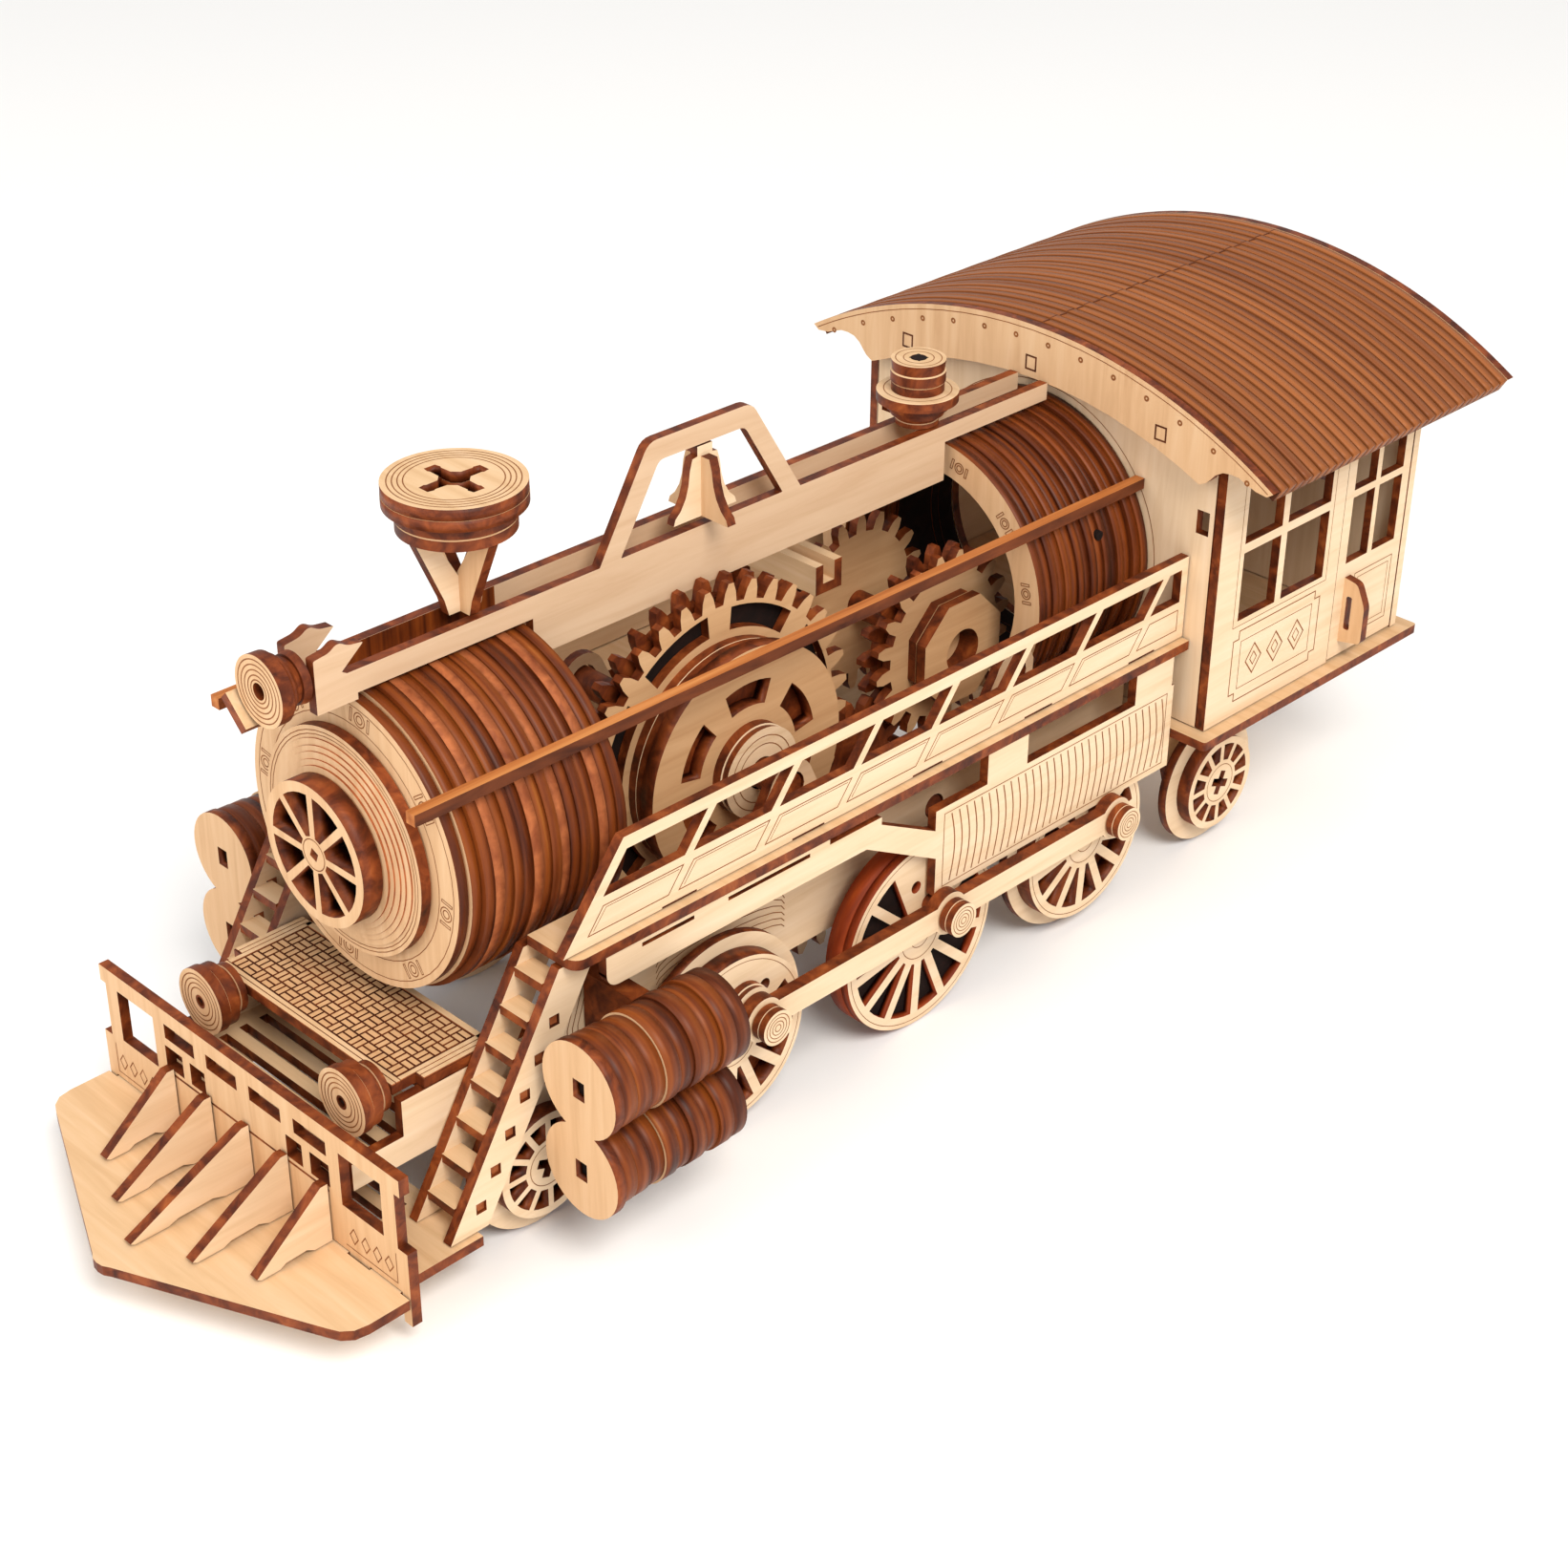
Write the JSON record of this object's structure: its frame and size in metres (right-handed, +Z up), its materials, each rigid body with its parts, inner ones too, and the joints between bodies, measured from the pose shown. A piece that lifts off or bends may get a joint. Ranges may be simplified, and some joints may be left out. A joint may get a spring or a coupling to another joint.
{
  "type": "wooden mechanical locomotive puzzle",
  "caption": "Laser-cut plywood steam locomotive puzzle with spoked wheels, coupling rods, an open gear train in the boiler, a cab with hinged doors and a pointed pilot.",
  "frame": {"origin": "on the ground under the middle of the bounding box", "axes": "+X towards the pilot (front), +Y to the engine's left, +Z up"},
  "size_m": [0.3106, 0.12, 0.1257],
  "materials": {
    "pale_plywood": "matte",
    "burnt_edge_plywood": "matte",
    "stained_bar": "satin"
  },
  "bodies": {
    "chassis": {"bell": "pale_plywood", "boiler_front_section": "burnt_edge_plywood", "boiler_rear_section": "burnt_edge_plywood", "buffer_left": "burnt_edge_plywood", "buffer_right": "burnt_edge_plywood", "cab_floor": "pale_plywood", "cab_front_wall": "pale_plywood", "cab_rear_wall": "pale_plywood", "cab_side_left": "pale_plywood", "cab_side_right": "pale_plywood", "cross_member": "pale_plywood", "cylinder_left_lower": "burnt_edge_plywood", "cylinder_left_upper": "burnt_edge_plywood", "cylinder_right_lower": "burnt_edge_plywood", "cylinder_right_upper": "burnt_edge_plywood", "dome": "burnt_edge_plywood", "frame_side_left": "pale_plywood", "frame_side_right": "pale_plywood", "front_deck": "pale_plywood", "front_frame": "pale_plywood", "funnel": "pale_plywood", "handrail_left": "stained_bar", "handrail_right": "stained_bar", "headlamp": "burnt_edge_plywood", "pilot_fence": "pale_plywood", "pilot_plate": "pale_plywood", "pilot_rib_1": "burnt_edge_plywood", "pilot_rib_2": "burnt_edge_plywood", "pilot_rib_3": "burnt_edge_plywood", "pilot_rib_4": "burnt_edge_plywood", "pilot_rib_5": "burnt_edge_plywood", "railing_left": "pale_plywood", "railing_right": "pale_plywood", "roof": "burnt_edge_plywood", "roof_fascia_front": "pale_plywood", "roof_fascia_rear": "pale_plywood", "skirt_left": "pale_plywood", "skirt_right": "pale_plywood", "smokebox_door": "pale_plywood", "smokebox_ring": "pale_plywood", "smokebox_wheel": "pale_plywood", "stair_left": "pale_plywood", "stair_right": "pale_plywood", "top_beam_left": "pale_plywood", "top_beam_right": "pale_plywood", "walkway_left": "pale_plywood", "walkway_right": "pale_plywood"},
    "pilot_wheelset": {"pilot_wheelset": "pale_plywood"},
    "driver_wheelset_1": {"driver_wheelset_1": "pale_plywood"},
    "driver_wheelset_2": {"driver_wheelset_2": "pale_plywood"},
    "driver_wheelset_3": {"driver_wheelset_3": "pale_plywood"},
    "trailing_wheelset": {"trailing_wheelset": "pale_plywood"},
    "coupling_rod_left": {"coupling_rod_left": "pale_plywood"},
    "coupling_rod_right": {"coupling_rod_right": "pale_plywood"},
    "flywheel_gear": {"flywheel_gear": "pale_plywood"},
    "idler_gear": {"idler_gear": "pale_plywood"},
    "counter_gear": {"counter_gear": "pale_plywood"},
    "cab_door_left": {"cab_door_left": "pale_plywood"},
    "cab_door_right": {"cab_door_right": "pale_plywood"}
  },
  "joints": [
    {"name": "driver_2_spin", "type": "hinge", "parent": "chassis", "child": "driver_wheelset_2", "pos_m": [-0.003, 0, 0.02], "axis": [0, 1, 0], "continuous": true},
    {"name": "driver_1_spin", "type": "hinge", "parent": "chassis", "child": "driver_wheelset_1", "pos_m": [0.046, 0, 0.02], "axis": [0, 1, 0], "continuous": true},
    {"name": "driver_3_spin", "type": "hinge", "parent": "chassis", "child": "driver_wheelset_3", "pos_m": [-0.052, 0, 0.02], "axis": [0, 1, 0], "continuous": true},
    {"name": "pilot_wheel_spin", "type": "hinge", "parent": "chassis", "child": "pilot_wheelset", "pos_m": [0.0876, 0, 0.0142], "axis": [0, 1, 0], "continuous": true},
    {"name": "trailing_wheel_spin", "type": "hinge", "parent": "chassis", "child": "trailing_wheelset", "pos_m": [-0.0975, 0, 0.0142], "axis": [0, 1, 0], "continuous": true},
    {"name": "coupling_rod_left_pin", "type": "hinge", "parent": "driver_wheelset_2", "child": "coupling_rod_left", "pos_m": [-0.00493, 0.0429, 0.02673], "axis": [0, 1, 0], "continuous": true},
    {"name": "coupling_rod_right_pin", "type": "hinge", "parent": "driver_wheelset_2", "child": "coupling_rod_right", "pos_m": [-0.00493, -0.0429, 0.02673], "axis": [0, 1, 0], "continuous": true},
    {"name": "flywheel_gear_spin", "type": "hinge", "parent": "chassis", "child": "flywheel_gear", "pos_m": [0.0225, 0, 0.05905], "axis": [0, 1, 0], "continuous": true},
    {"name": "idler_gear_spin", "type": "hinge", "parent": "chassis", "child": "idler_gear", "pos_m": [-0.01653, 0, 0.03874], "axis": [0, 1, 0], "continuous": true},
    {"name": "counter_gear_spin", "type": "hinge", "parent": "chassis", "child": "counter_gear", "pos_m": [-0.0385, 0, 0.05905], "axis": [0, 1, 0], "continuous": true},
    {"name": "cab_door_left_hinge", "type": "hinge", "parent": "chassis", "child": "cab_door_left", "pos_m": [-0.1422, 0.0467, 0.0656], "axis": [0, 0, 1], "range_deg": [0, 95]},
    {"name": "cab_door_right_hinge", "type": "hinge", "parent": "chassis", "child": "cab_door_right", "pos_m": [-0.1422, -0.0467, 0.0656], "axis": [0, 0, -1], "range_deg": [0, 95]}
  ],
  "couplings": [
    {"joint": "driver_1_spin", "follows": "driver_2_spin", "ratio": 1},
    {"joint": "driver_3_spin", "follows": "driver_2_spin", "ratio": 1},
    {"joint": "coupling_rod_left_pin", "follows": "driver_2_spin", "ratio": -1},
    {"joint": "coupling_rod_right_pin", "follows": "driver_2_spin", "ratio": -1},
    {"joint": "flywheel_gear_spin", "follows": "driver_2_spin", "ratio": -0.47222},
    {"joint": "idler_gear_spin", "follows": "driver_2_spin", "ratio": 1.2143},
    {"joint": "counter_gear_spin", "follows": "driver_2_spin", "ratio": -0.85}
  ]
}
